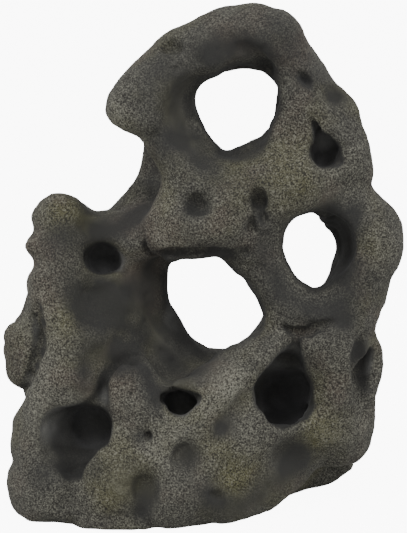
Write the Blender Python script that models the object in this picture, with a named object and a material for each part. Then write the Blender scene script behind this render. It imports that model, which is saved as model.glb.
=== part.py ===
"""Holey rock: one free-standing stone, worn through by three tunnels and pocked with caves and hollows.

Lengths are in millimetres in the tables below and metres in the scene, +Z up, the front facing -Y.
The origin lies on the flat foot that the rock stands on.
The stone is built up from round masses, each a row of beads along a smooth path. They are fused, the
tunnels, caves and hollows are cut out, the skin is made uneven, and the underside is cut off flat.
"""

import math

import bmesh
import bpy
from mathutils import Matrix, Vector

MM = 0.001
HEIGHT = 246.0  # from the foot to the crown
DRAWN_HEIGHT = 246.0  # the height that the tables below are drawn at
SCALE = HEIGHT / DRAWN_HEIGHT * MM

# Sizes in drawn millimetres.
DEPTH_STRETCH = 1.2  # the masses are this much deeper, front to back, than they are wide
BEAD_STEP = 0.4  # distance from bead to bead, as a share of their radius
MASS_GRID = 2.0  # size of the grid that fuses the masses
HOLLOW_GRID = 1.5
WORN_GRID = 1.7
MASS_EASE = 20  # rounds of smoothing, which turn the creases between the masses into webs
HOLLOW_EASE = 2
WORN_EASE = 6
BEYOND = 40.0  # how far the tunnels' cutter runs past their outer outlines
TUNNEL_SIDES = 32
RIM_EASE = 1.6  # the tunnels are drawn this much tighter, because the easing of their rims opens them
LUMP_SIZE, LUMP_HEIGHT = 26.0, 5.0
SMALL_LUMP_SIZE, SMALL_LUMP_HEIGHT = 9.0, 2.2
HOLLOW_LUMP_SIZE, HOLLOW_LUMP_HEIGHT = 12.0, 4.0
GROUND_SIDE, GROUND_DEPTH = 400.0, 60.0
FACES_KEPT = 0.072  # share of the fused skin's faces that the finished skin keeps

STONE_COLOUR = (0.115, 0.105, 0.078, 1.0)
STONE_ROUGHNESS = 0.93

# Each mass is a path of stations: across (X), depth (Y, negative to the front), height (Z), radius.
MASSES = {
    "brow": [(-36, -10, 198, 11.5), (-25, -8, 203, 16.5), (-15, -4, 213.5, 17.5), (-2, -2, 224.5, 16),
             (12, 0, 230.5, 16.5), (24, 0, 231.2, 17), (31, 0, 229.2, 17.5), (36.5, 1, 220, 15.5),
             (44.5, 2, 206.5, 16.5), (51, 2, 191, 17)],
    "cheek": [(-28, -9, 196, 13), (-20, -8, 200, 18), (-15, -8, 190, 16), (-9, -9, 178, 15.5),
              (-4, -12, 162, 16), (-2, -12, 152, 18)],
    "chest": [(-13, -14, 141, 16.5), (-2, -10, 148, 23), (14, -8, 151, 23), (28, -7, 160, 21),
              (44, -5, 164, 20), (61, 0, 167, 17)],
    "crotch": [(27, -5, 168, 17), (38, 0, 181, 14.5), (48, 2, 190, 15)],
    "shoulder": [(52, 2, 196, 17), (59, 1, 185, 18), (64.5, 0, 174, 18)],
    "shoulder_knob": [(57, -2, 190, 12), (63.5, -2, 196, 9)],
    "right_side": [(62, 0, 172, 18), (66, 0, 157, 13), (80.5, -1, 135, 16.5), (78, -2, 124, 17),
                   (72.5, -2, 107, 18), (65, -4, 94, 18), (52, -8, 92, 17), (43, -8, 100, 15),
                   (34.5, -8, 112, 14.5), (27, -8, 124, 15), (23, -8, 138, 17), (20, -8, 152, 20)],
    "back_arch": [(-18, 6, 188, 13), (-20, 10, 174, 8.5), (-24, 11, 162, 8.5), (-32, 11, 147.5, 8.5),
                  (-45, 6, 135, 9)],
    "left_column": [(-61, -6, 140, 12), (-69.3, -6, 143.5, 13), (-67, -8, 129, 16),
                    (-67.5, -10, 108, 19), (-63, -14, 90, 19.5), (-64, -16, 70, 20), (-66, -17, 56, 20),
                    (-70.5, -17, 38, 23), (-70.5, -15, 10, 26)],
    "knob_bump": [(-74, -6, 132, 8), (-78.5, -6, 130, 7)],
    "left_bridge": [(-64, -6, 135, 13), (-50, -1, 131, 15), (-36, -4, 134, 13), (-18, -9, 142, 14)],
    "left_flank": [(-50, 2, 128, 16), (-46, 2, 108, 18), (-44, 2, 86, 20), (-44, 0, 66, 20)],
    "left_lobe": [(-78, 12, 98, 10.5), (-82, 13, 84, 11), (-86, 14, 71, 13.5), (-84, 14, 64, 12)],
    "basin_wall": [(-36, 8, 134, 13), (-32, 10, 118, 16), (-31, 10, 98, 17), (-25, 10, 76, 19),
                   (-8, 9, 57, 20), (12, 6, 54, 20), (31, 0, 70, 15), (43, -4, 92, 14)],
    "ridge": [(45, -10, 91, 14), (33, -16, 79, 13.5), (15, -22, 66, 15.5), (-2, -25, 56, 16),
              (-15, -26, 49, 16), (-27, -26, 56, 15), (-35, -26, 69, 13.5)],
    "front_foot": [(-69.5, -12, 14, 25), (-45, -18, 16, 26.5), (-15, -21, 17, 28), (8, -14, 19, 27.5),
                   (26, -4, 22, 25), (46, 6, 36, 19)],
    "front_middle": [(-60, -19, 30, 22), (-30, -21, 30, 24), (0, -20, 32, 25), (28, -8, 36, 22)],
    "front_belly": [(-66, -18, 42, 20), (-44, -17, 42, 21), (-18, -19, 40, 22), (8, -17, 42, 23),
                    (32, -8, 44, 23), (50, 0, 48, 21)],
    "back_foot": [(-68, 20, 16, 25), (-30, 24, 20, 28), (8, 24, 20, 28), (32, 22, 18, 26),
                  (48, 30, 8, 17)],
    "right_column": [(60, -5, 94, 18), (63, -3, 79, 20), (64, 0, 60, 20.5), (63, 4, 44, 21),
                     (67, 8, 30, 16.5)],
    "right_lobe": [(76, 14, 77, 11), (78, 14, 66, 11), (75, 14, 52, 11.5), (69, 14, 34, 11.5)],
    "core": [(-60, 8, 60, 24), (-35, 8, 45, 24), (0, 6, 34, 26), (35, 12, 42, 24), (58, 14, 60, 19)],
    "back_crown": [(-26, 8, 202, 12), (-8, 11, 219, 12), (14, 11, 229, 12), (32, 14, 225, 13),
                   (46, 15, 208, 14.5)],
    "back_shoulder": [(56, 12, 190, 15), (61, 12, 174, 13), (65, 12, 157, 10.5), (71, 10, 140, 13),
                      (70, 12, 118, 14)],
    "back_chest": [(56, 14, 168, 15), (40, 14, 169, 12), (22, 14, 159, 15), (4, 10, 164, 14),
                   (-8, 8, 150, 14)],
    "back_strut": [(18, 5, 146, 15), (27, 5, 128, 12), (36, 4, 111, 12), (46, 6, 97, 14),
                   (52, 14, 80, 15)],
    "back_flank": [(-66, 8, 142, 10), (-60, 12, 128, 12), (-66, 14, 112, 12), (-56, 18, 96, 15),
                   (-62, 22, 78, 16), (-54, 26, 58, 19), (-62, 26, 40, 20)],
    "lobe_root": [(-74, 18, 106, 10), (-76, 20, 88, 12), (-76, 22, 68, 15), (-72, 24, 48, 18)],
    "inner_flank": [(-44, 14, 122, 12), (-40, 18, 104, 13), (-42, 20, 84, 15)],
    "back_belly": [(-40, 24, 66, 16), (-22, 24, 56, 18), (-4, 27, 48, 20), (16, 24, 52, 18),
                   (32, 22, 60, 17), (50, 18, 72, 15), (58, 14, 90, 13), (64, 14, 106, 13)],
    "back_apron": [(-50, 28, 34, 21), (-24, 32, 36, 20), (4, 28, 34, 24), (26, 30, 38, 19),
                   (46, 24, 32, 20), (60, 20, 44, 15)],
}

# Each tunnel is lofted through three closed outlines (across, height), each at its own depth.
TUNNELS = {
    "crown_tunnel": {
        "front": (-25, [(-21, 199), (-14, 214), (2, 225), (19, 228), (33, 222), (40, 208), (40, 194),
                        (32, 180), (16, 173), (0, 172), (-13, 176), (-20, 186)]),
        "waist": (0, [(-4, 199), (-3, 208), (4, 213), (15, 216), (28, 215), (34.6, 207.5),
                      (34.5, 195.5), (32.5, 184.5), (24.5, 178), (14, 174.5), (5, 180.5), (0, 188.5)]),
        "back": (26, [(-14, 198), (-10, 210), (3, 219), (16, 222), (30, 220), (39, 208), (39, 190),
                      (35, 178), (24, 170), (11, 167), (-1, 174), (-9, 185)]),
    },
    "right_tunnel": {
        "front": (-24, [(35, 136), (43, 148), (56, 153), (67, 149), (73, 138), (72, 126), (66, 116),
                        (56, 110), (47, 115), (38, 125)]),
        "waist": (2, [(37, 133), (41, 141), (49, 146.5), (56, 140), (63.5, 131), (66, 121),
                      (62.5, 111.5), (52.7, 104.5), (45, 110.5), (38.7, 119.5)]),
        "back": (26, [(30, 128), (36, 140), (46, 147), (55, 143), (63, 131), (65, 118), (62, 106),
                      (54, 98), (44, 102), (35, 114)]),
    },
    "heart_tunnel": {
        "front": (-30, [(-34, 124), (-20, 130), (0, 131), (15, 127), (27, 114), (31, 102), (28, 92),
                        (14, 84), (-6, 79), (-24, 81), (-38, 90), (-42, 108)]),
        "waist": (2, [(-15, 116), (-9, 120.5), (0, 122), (11, 118), (20.5, 110.5), (29.5, 97),
                      (28, 86.5), (20, 78), (10, 74.5), (0, 78.5), (-8, 88.5), (-14, 97), (-16, 106)]),
        "back": (30, [(-26, 121), (-14, 128), (2, 130), (15, 125), (26, 113), (35, 96), (33, 80),
                      (21, 69), (5, 66), (-11, 73), (-22, 87), (-27, 105)]),
    },
}

# Shallow hollows: centre (across, depth, height), half sizes, and degrees of turn about the depth axis.
HOLLOWS = {
    "eye_tail": ((52.5, -23, 191), (4, 8, 10), -28),
    "chest_dimple": ((-2.5, -34, 155), (7, 8, 6.5), 0),
    "chest_pit": ((26.5, -28, 156.5), (3.6, 6, 6), 8),
    "chest_pit_low": ((23, -30, 145), (2.8, 5, 3.2), 0),
    "chest_pit_mid": ((28.2, -28, 149.7), (2.6, 4, 2.6), 0),
    "knob_valley": ((-52, -21, 140), (8, 11, 11), -20),
    "flank_dent": ((-53, -36, 104), (9, 10, 13), 0),
    "corner_hollow": ((-64, -46, 43), (16, 14, 20), 10),
    "corner_tip": ((-61, -44, 29), (8, 11, 10), 0),
    "belly_pit": ((-27.5, -43, 46), (3.8, 7, 3.8), 0),
    "belly_dent": ((-8.8, -49, 37), (9, 8, 9), 0),
    "belly_groove": ((-28, -51, 20), (8, 9, 15), 5),
    "corner_groove": ((-65, -46, 15), (5, 8, 11), 0),
    "foot_dent": ((41, -36, 32), (10, 11, 12), 0),
    "brow_pit": ((47, -17, 212.5), (3.2, 6, 3.2), 0),
    "brow_dent": ((-15.7, -20, 229), (6, 7, 5), 0),
    "shoulder_dent": ((60.5, -12, 206), (5, 6, 4), 0),
    "back_hollow": ((40, 50, 52), (15, 16, 13), 20),
    "back_dent": ((-58, 42, 98), (9, 12, 12), 0),
    "back_pit": ((58, 29, 176), (5, 9, 6), 0),
    "back_pit_low": ((50, 31, 168), (3, 6, 3), 0),
    "back_chest_dent": ((10, 32, 160), (8, 8, 6), 30),
    "back_crown_pit": ((14, 29, 234), (5, 9, 4), 0),
    "back_brow_pit": ((-12, 29, 218), (4, 7, 4), 0),
    "back_flank_pit": ((-70, 32, 118), (4, 8, 5), 0),
    "back_belly_pit": ((6, 56, 46), (6, 9, 5), 0),
    "back_foot_dent": ((-48, 60, 22), (12, 9, 9), 0),
    "back_foot_pit": ((28, 60, 18), (5, 8, 4), 0),
    "right_flank_pit": ((92, 6, 128), (9, 5, 6), 0),
    "right_foot_dent": ((84, 24, 44), (7, 8, 9), 0),
    "left_knob_pit": ((-86, 0, 112), (7, 5, 5), 0),
}

# Caves, which sink from their mouths inwards, and grooves, as paths of stations like the masses.
BURROWS = {
    "eye": [(57.4, -29, 182, 6.5), (58, -18, 178, 8), (58, -8, 173, 7)],
    "knob_cave": [(-48.7, -25, 129.5, 8.5), (-48.7, -14, 125, 9), (-48, -4, 118, 7)],
    "low_cave": [(-18, -41, 65, 4.5), (-12, -38, 62.5, 6.5), (-9.5, -30, 56, 8), (-11, -20, 50, 8)],
    "low_cave_side": [(-7, -41, 64, 6), (-9, -32, 57, 7)],
    "great_cave": [(38, -37, 69, 13), (37.6, -30, 63.5, 14), (38, -20, 60, 15), (39, -8, 56, 12)],
    "corner_cave": [(-56, -43, 51, 10), (-55.5, -34, 47, 12), (-53, -20, 43, 11)],
    "back_cave": [(-30, 58, 58, 11), (-30, 46, 54, 12), (-29, 34, 50, 11)],
    "back_groove": [(-30, 40, 108, 4), (-34, 44, 90, 5), (-30, 48, 76, 5), (-22, 52, 66, 4)],
    "back_seam": [(70, 32, 98, 3), (56, 38, 84, 4.5), (44, 42, 76, 4), (28, 44, 78, 3)],
    "limb_crease": [(36, -27, 98.5, 2), (43.4, -27, 94.5, 3), (50.6, -27, 93.6, 3), (61, -27, 96, 2)],
    "cave_throat": [(45, -27, 96, 3), (43, -27, 85, 5), (40, -26, 76, 8)],
    "ridge_crease": [(-50, -35, 61, 4.5), (-47, -33, 68, 4.5), (-43, -30, 75, 5), (-34, -25, 81, 5)],
    "under_ridge": [(4, -47, 45, 4), (13.4, -46, 53, 5), (22, -40, 61, 5)],
    "lobe_crease": [(-82, -3, 100, 3), (-79, -5, 86, 4), (-79, -6, 72, 4), (-86, -6, 58, 4)],
    "side_cleft": [(86, 4, 89, 3), (81, -3, 80, 3.5), (76.5, -12, 69, 6), (75.5, -14, 56, 4.5)],
    "lip_recess": [(44, -16, 1, 7), (53, -8, 3, 7), (65, 6, 3, 8), (80, 16, 4, 9)],
}


def clear_scene():
    for old in list(bpy.data.objects):
        bpy.data.objects.remove(old)


def curve_point(a, b, c, d, t):
    """The point at t (0 to 1) between b and c on a Catmull-Rom curve."""
    bend = (2 * a - 5 * b + 4 * c - d) * t**2 + (3 * b - a - 3 * c + d) * t**3
    return 0.5 * (2 * b + (c - a) * t + bend)


def add_beads(bm, stations):
    """Overlapping beads on a smooth path through the stations, close enough to fuse."""
    points = [Vector([float(n) for n in station]) for station in stations]
    last = len(points) - 1
    for start in range(last):
        a, b, c, d = (points[min(max(start + k, 0), last)] for k in (-1, 0, 1, 2))
        span = (b.xyz - c.xyz).length
        count = max(1, round(span / (BEAD_STEP * min(b.w, c.w))))
        for k in range(count + (start == last - 1)):
            x, y, z, radius = curve_point(a, b, c, d, k / count)
            size = Matrix.Diagonal((radius, radius * DEPTH_STRETCH, radius, 1))
            place = Matrix.Translation((x, y, z)) @ size
            bmesh.ops.create_icosphere(bm, subdivisions=3, radius=1.0, matrix=place)


def add_hollow(bm, centre, half, turn):
    """An egg with these half sizes, turned about the depth axis."""
    turned = Matrix.Rotation(math.radians(turn), 4, "Y")
    place = Matrix.Translation(centre) @ turned @ Matrix.Diagonal((*half, 1))
    bmesh.ops.create_icosphere(bm, subdivisions=3, radius=1.0, matrix=place)


def drawn_in(points, by):
    """The points moved towards their middle."""
    points = [Vector(p) for p in points]
    middle = sum(points, Vector((0, 0))) / len(points)
    return [p + (middle - p).normalized() * by for p in points]


def round_loop(points, count):
    """Count points, evenly shared, on a closed smooth curve through the points."""
    n = len(points)
    made = []
    for k in range(count):
        start, t = divmod(k / count * n, 1)
        made.append(curve_point(*(points[(int(start) + j) % n] for j in (-1, 0, 1, 2)), t))
    return made


def add_tunnel(bm, front, waist, back):
    """A closed loft from in front of the rock to behind it."""
    outlines = [(front[0] - BEYOND, front[1]), front, waist, back, (back[0] + BEYOND, back[1])]
    rings = []
    for depth, points in outlines:
        loop = round_loop(drawn_in(points, RIM_EASE), TUNNEL_SIDES)
        rings.append([bm.verts.new((x, depth, z)) for x, z in loop])
    for near, far in zip(rings, rings[1:]):
        for k in range(TUNNEL_SIDES):
            j = (k + 1) % TUNNEL_SIDES
            bm.faces.new((near[k], near[j], far[j], far[k]))
    bm.faces.new(rings[0])
    bm.faces.new(rings[-1])


def object_from(bm, name):
    """The drawn shape as an object at its real size."""
    bmesh.ops.scale(bm, vec=(SCALE,) * 3, verts=bm.verts)
    bmesh.ops.recalc_face_normals(bm, faces=bm.faces)
    mesh = bpy.data.meshes.new(name)
    bm.to_mesh(mesh)
    bm.free()
    made = bpy.data.objects.new(name, mesh)
    bpy.context.scene.collection.objects.link(made)
    return made


def as_cutter(made):
    made.hide_render = True
    made.display_type = "WIRE"
    return made


def fuse(made, name, grid, rounds):
    """Joins everything in the object into one skin on a grid, and smooths it."""
    skin = made.modifiers.new(name, "REMESH")
    skin.mode = "VOXEL"
    skin.voxel_size = grid * SCALE
    skin.use_smooth_shade = True
    ease = made.modifiers.new(name + "_ease", "SMOOTH")
    ease.factor = 0.5
    ease.iterations = rounds


def roughen(made, name, size, height):
    """Pushes the skin in and out by half of the height, in lumps about this size."""
    clouds = bpy.data.textures.new(name, "CLOUDS")
    clouds.noise_scale = size * SCALE
    clouds.noise_depth = 1
    push = made.modifiers.new(name, "DISPLACE")
    push.texture = clouds
    push.texture_coords = "LOCAL"
    push.mid_level = 0.5
    push.strength = height * SCALE


def cut(made, name, cutter):
    step = made.modifiers.new(name, "BOOLEAN")
    step.operation = "DIFFERENCE"
    step.solver = "EXACT"
    step.object = cutter


def stone_material():
    material = bpy.data.materials.new("stone")
    material.use_nodes = True
    shader = material.node_tree.nodes["Principled BSDF"]
    shader.inputs["Base Color"].default_value = STONE_COLOUR
    shader.inputs["Roughness"].default_value = STONE_ROUGHNESS
    shader.inputs["Metallic"].default_value = 0.0
    return material


def build_worn_away():
    """All that wear has taken out of the stone: tunnels, hollows, caves and grooves, as one cutter."""
    bm = bmesh.new()
    for tunnel in TUNNELS.values():
        add_tunnel(bm, tunnel["front"], tunnel["waist"], tunnel["back"])
    for centre, half, turn in HOLLOWS.values():
        add_hollow(bm, centre, half, turn)
    for stations in BURROWS.values():
        add_beads(bm, stations)
    worn = as_cutter(object_from(bm, "worn_away"))
    fuse(worn, "join", HOLLOW_GRID, HOLLOW_EASE)
    roughen(worn, "hollow_lumps", HOLLOW_LUMP_SIZE, HOLLOW_LUMP_HEIGHT)
    return worn


def build_ground():
    """What lies below the flat foot."""
    bm = bmesh.new()
    size = Matrix.Diagonal((GROUND_SIDE, GROUND_SIDE, GROUND_DEPTH, 1))
    bmesh.ops.create_cube(bm, size=1.0, matrix=Matrix.Translation((0, 0, -GROUND_DEPTH / 2)) @ size)
    return as_cutter(object_from(bm, "ground"))


def build_rock(worn, ground):
    bm = bmesh.new()
    for stations in MASSES.values():
        add_beads(bm, stations)
    rock = object_from(bm, "rock")
    rock.data.shade_smooth()
    rock.data.materials.append(stone_material())
    fuse(rock, "masses", MASS_GRID, MASS_EASE)
    cut(rock, "wear", worn)
    fuse(rock, "skin", WORN_GRID, WORN_EASE)
    roughen(rock, "lumps", LUMP_SIZE, LUMP_HEIGHT)
    roughen(rock, "small_lumps", SMALL_LUMP_SIZE, SMALL_LUMP_HEIGHT)
    thin = rock.modifiers.new("thin", "DECIMATE")
    thin.ratio = FACES_KEPT
    cut(rock, "foot", ground)
    return rock


def main():
    clear_scene()
    build_rock(build_worn_away(), build_ground())


main()
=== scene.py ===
"""Dresses the holey rock: a worn and pitted skin over its solid, a stone finish, and a plain studio stage.

The skin is worked out as a field: for every point of a grid round the rock, how far it lies outside the
stone. Hollows and lumps are added to the field as whole arrays, and the skin is where the field is zero.
"""

import math

import bpy
import numpy as np
import openvdb
from bpy.props import FloatProperty, FloatVectorProperty, IntProperty, PointerProperty
from bpy.types import Operator, Panel, PropertyGroup
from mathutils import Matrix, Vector


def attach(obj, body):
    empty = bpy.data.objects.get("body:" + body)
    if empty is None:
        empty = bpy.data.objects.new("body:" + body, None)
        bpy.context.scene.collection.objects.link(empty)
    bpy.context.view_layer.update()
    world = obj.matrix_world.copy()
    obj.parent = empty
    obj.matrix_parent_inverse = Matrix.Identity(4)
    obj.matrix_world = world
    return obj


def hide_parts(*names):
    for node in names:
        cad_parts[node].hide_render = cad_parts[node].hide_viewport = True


bl_info = {
    "name": "Holey Rock",
    "version": (1, 0, 0),
    "blender": (4, 5, 0),
    "location": "3D View > Sidebar > Holey Rock",
    "description": "Builds the skin, finish and stage of a free-standing rock with holes worn through it",
    "category": "Object",
}

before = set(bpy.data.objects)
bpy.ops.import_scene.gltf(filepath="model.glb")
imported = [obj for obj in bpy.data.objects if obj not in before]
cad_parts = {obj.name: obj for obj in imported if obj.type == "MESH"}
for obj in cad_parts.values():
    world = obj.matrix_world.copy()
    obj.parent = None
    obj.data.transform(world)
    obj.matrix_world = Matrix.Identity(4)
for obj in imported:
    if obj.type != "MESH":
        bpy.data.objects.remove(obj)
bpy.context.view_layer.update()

MM = 0.001
NODE = "rock"

# All tables are in drawn millimetres: across (X), depth (Y, negative to the front), height (Z).

# Caves sink from their mouths inwards. Each has how softly its rim is rounded, and a path of stations
# (across, depth, height, radius).
CAVES = {
    "corner_slit": (0.6, [(-65.1, -35.2, 24.2, 1), (-62.3, -33.6, 23.7, 1.5), (-58.9, -33.2, 26.6, 1.2)]),
    "belly_pit": (1, [(-25.9, -42.4, 45.6, 2.1)]),
    "tiny_a": (0.3, [(-40.2, -41.4, 45.8, 0.9)]),
    "tiny_b": (0.3, [(-33.5, -42, 61.9, 0.9)]),
    "tiny_c": (0.3, [(-30.1, -42.5, 62.6, 0.9)]),
    "foot_pit": (1, [(3.6, -49.7, 19.1, 1.8), (6.9, -47.9, 16.9, 1.8)]),
    "limb_stem": (1, [(44.8, -22.5, 91, 1.3), (44.4, -21.7, 85.3, 1.8), (44.5, -19.5, 79.7, 3)]),
    "brow_pit": (2, [(-16.7, -13.2, 227.4, 3.4), (-12.9, -15, 226.7, 3)]),
    "brow_crease": (0.6, [
        (-16.6, -21, 220.1, 0.9), (-13.8, -21.6, 218.8, 1.2), (-10.5, -21.4, 219.7, 0.9),
    ]),
    "brow_crease_low": (0.6, [(-18, -22.7, 216.6, 0.8), (-14.7, -22.7, 215.2, 1.1)]),
    "tunnel_groove": (2, [
        (20.4, -17.9, 227.2, 2.4), (25.1, -14.9, 221.9, 3), (30.1, -5.5, 214.6, 3),
        (30.4, -12, 211.9, 2.4),
    ]),
    "great_cave_top": (2, [(43, -21, 82.1, 3.4), (42.1, -20, 78.3, 5), (40.8, -16, 72.7, 8)]),
    "chest_undercut": (1, [
        (-20.7, -22, 129.8, 2.4), (-14.9, -28, 131.8, 3.4), (-8.3, -30, 133.2, 3.8),
        (-0.7, -29, 133.5, 3.8), (6.9, -27, 132, 3.6), (13.5, -25, 130.5, 3),
        (20.2, -25.7, 132.2, 1.8),
    ]),
    "corner_tip": (2, [(-56.3, -36, 35.6, 3.6), (-59.2, -37, 30.4, 2.6)]),
    "body_edge": (1.2, [
        (-81.3, -26, 104.3, 4), (-79.9, -26, 98.4, 5), (-79.5, -27, 91.2, 5.6),
        (-80.1, -27, 83.8, 5.8), (-82.1, -27, 76.3, 5.6), (-85.7, -26, 68.1, 5),
    ]),
    "body_edge_back": (1.5, [
        (-81.3, -19, 97.5, 4), (-80.5, -19, 89, 5), (-81.1, -19, 81.5, 5), (-83.1, -19, 74, 5),
        (-86.1, -19, 67, 4.4),
    ]),
    "belly_slit": (0.8, [(12.1, -43.9, 39.1, 1.6), (12.1, -43.6, 35.5, 2), (11.7, -44.2, 32.7, 1.4)]),
    "eye_tail": (1.2, [
        (50.3, -16.6, 194.3, 0.8), (52.2, -16, 192, 1.6), (54.4, -14.5, 189.1, 2.7),
        (57.2, -12, 185.5, 4.5), (58.7, -10, 179.8, 6.6),
    ]),
    "eye_sill": (1, [(54, -17, 173.2, 2.8), (63.7, -17, 173.2, 2.8)]),
    "brow_slit": (0.8, [(45.4, -14.8, 214.8, 1.6), (48.3, -13.7, 212.2, 2.3), (51.1, -14.6, 209.5, 1.5)]),
    "knob_side": (2, [(-55.3, -15, 126.6, 3.4), (-44.4, -12, 126.4, 3.2)]),
    "corner_mouth": (5, [(-67.5, -38, 48.2, 6), (-60.4, -28, 44.1, 9)]),
    "ridge_slit": (0.8, [(-47.1, -30, 66.7, 1.2), (-48.1, -31.1, 63.1, 1.3), (-47.6, -32, 60.3, 1.2)]),
    "crumble_a": (0.6, [(-43.6, -37.5, 55.1, 1.8)]),
    "crumble_b": (0.6, [(-40.7, -39.8, 51.8, 1.8)]),
    "crumble_c": (0.6, [(-43.6, -39, 50, 1.5)]),
    "crumble_d": (0.6, [(-40.2, -39.7, 56.7, 1.6)]),
    "low_cave_left": (2.5, [(-17.9, -33, 61.2, 2.6), (-15.6, -26, 59, 3.8), (-12.3, -18, 57.1, 5)]),
    "bottom_left": (3, [(-79.3, -46, -2.9, 8), (-68.6, -48, -2.7, 8)]),
    "great_cave_corner": (3, [(29.8, -18, 54.1, 5), (31.7, -18, 50.6, 5)]),
    "chest_crack": (0.6, [
        (-29.7, -21.5, 140.9, 1.4), (-28.7, -21.8, 137.1, 1.8), (-26.9, -20.3, 132.3, 2.2),
        (-24.2, -14.7, 127.5, 2.4),
    ]),
    "chest_pit_main": (2.5, [(26.1, -29.3, 159.7, 3), (26.7, -26.3, 155.2, 3.2)]),
    "limb_crease": (0.8, [
        (38.1, -22.6, 94.5, 1.4), (42.4, -21.6, 92, 2.4), (47.2, -22, 91.1, 2.7),
        (51.9, -23.3, 92.2, 2.6), (56.6, -24.6, 94.3, 2.4), (60.9, -25.6, 97, 1.8),
    ]),
    "great_cave_floor": (2, [(35.8, -13, 45.5, 7), (41.6, -13, 43.9, 8), (46, -11, 46.4, 7)]),
    "right_tunnel_round": (1.5, [
        (55.9, -26, 134.7, 17.3), (56, -9, 130.6, 16.5), (53, 12, 125, 12), (53.9, 40, 118.3, 11.6),
    ]),
    "low_cave_row": (1.2, [
        (-19.3, -34, 61.5, 3), (-15, -34, 61.5, 3.6), (-10.3, -34, 62, 4), (-6, -36, 62.3, 3.6),
        (-3.1, -38, 62.2, 3.2),
    ]),
    "side_cleft": (2, [
        (77.4, -19, 88.5, 2.4), (75.9, -21, 85.1, 4.2), (75.2, -21, 80.1, 5.2),
        (75.3, -20, 74.3, 5.2), (76.3, -17, 67.4, 4.6), (78.3, -14, 60.5, 3),
    ]),
    "chest_pit_low": (1.3, [(22.4, -28.8, 147.5, 2.3), (22.9, -27.7, 143.8, 2.4)]),
    "chest_pit_mid": (1.3, [(28.1, -26.8, 150.4, 2.2), (29, -28.2, 147.4, 2.3)]),
    "great_cave_lip": (1, [
        (29.3, -29, 54.9, 3.8), (32.4, -30, 52, 4), (37.2, -30, 50, 4.2), (42, -30, 50, 4.2),
        (45.9, -29, 52.2, 4), (48.3, -28, 56.1, 3.8),
    ]),
    "great_cave_lip_back": (1, [
        (29.4, -24, 53.9, 4), (32.5, -24, 50.4, 4.2), (37.4, -24, 48.1, 4.3), (42.2, -24, 48.1, 4.3),
        (46.1, -23, 50.1, 4.2), (48.5, -22, 54.3, 4),
    ]),
}

# Lumps are built onto the stone, in the same terms.
LUMPS = {
    "low_cave_sill": (3, [(-15, -37, 51.9, 3), (-10.7, -37, 51.4, 3), (-6.4, -37, 52.4, 3)]),
    "lip": (4, [(67, -6, 25.8, 6), (73, -4, 26.2, 5)]),
    "base_front": (5, [
        (-54.5, -42, 1.3, 5), (-46.8, -42, -0.3, 5.5), (-39.1, -43, -0.4, 5.5), (-30.4, -44, 0.5, 5),
    ]),
    "knob_bump": (2.5, [(-81.1, -14, 131.3, 4.4)]),
    "lobe_front": (5, [(-89, -7, 84.2, 8), (-87.6, -8, 77.4, 9), (-88.2, -8, 70.3, 8.5)]),
    "lobe_inner": (6, [
        (-82.3, -12, 94.6, 5.5), (-82, -11, 87.3, 7), (-82.1, -11, 80.3, 7.5),
        (-83.6, -11, 73.2, 7.5), (-85.7, -11, 67.2, 6.5),
    ]),
    "cleft_rim": (5, [
        (81.1, -9, 86.8, 2), (82.9, -5, 81.6, 3), (84.1, -3, 76, 3.6), (84.4, -3, 69.9, 3.8),
        (83.4, -5, 63.4, 3.4), (81.1, -8, 57.7, 3),
    ]),
    "right_tunnel_fill": (4, [(57.4, -6, 146.9, 3), (58.2, 2, 144.1, 3), (59.2, 8, 141.2, 3)]),
    "right_foot": (9, [(57.6, 22, 5.2, 6), (64.7, 24, 7.7, 6.4), (71.1, 22, 11, 4.6)]),
    "tunnel_corner_a": (3, [(-1.9, -3, 182.2, 3.5), (-2, 24, 176.9, 3.5)]),
    "tunnel_corner_b": (3, [(0.5, -3, 179.1, 3.5), (0.5, 24, 173.6, 3.5)]),
    "tunnel_corner_c": (3, [(4.1, -3, 175.7, 3.5), (4.2, 24, 170.1, 3.5)]),
    "tunnel_corner_d": (3, [(-4.3, -3, 186.4, 3.5), (-4.4, 24, 181.1, 3.5)]),
}

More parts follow.
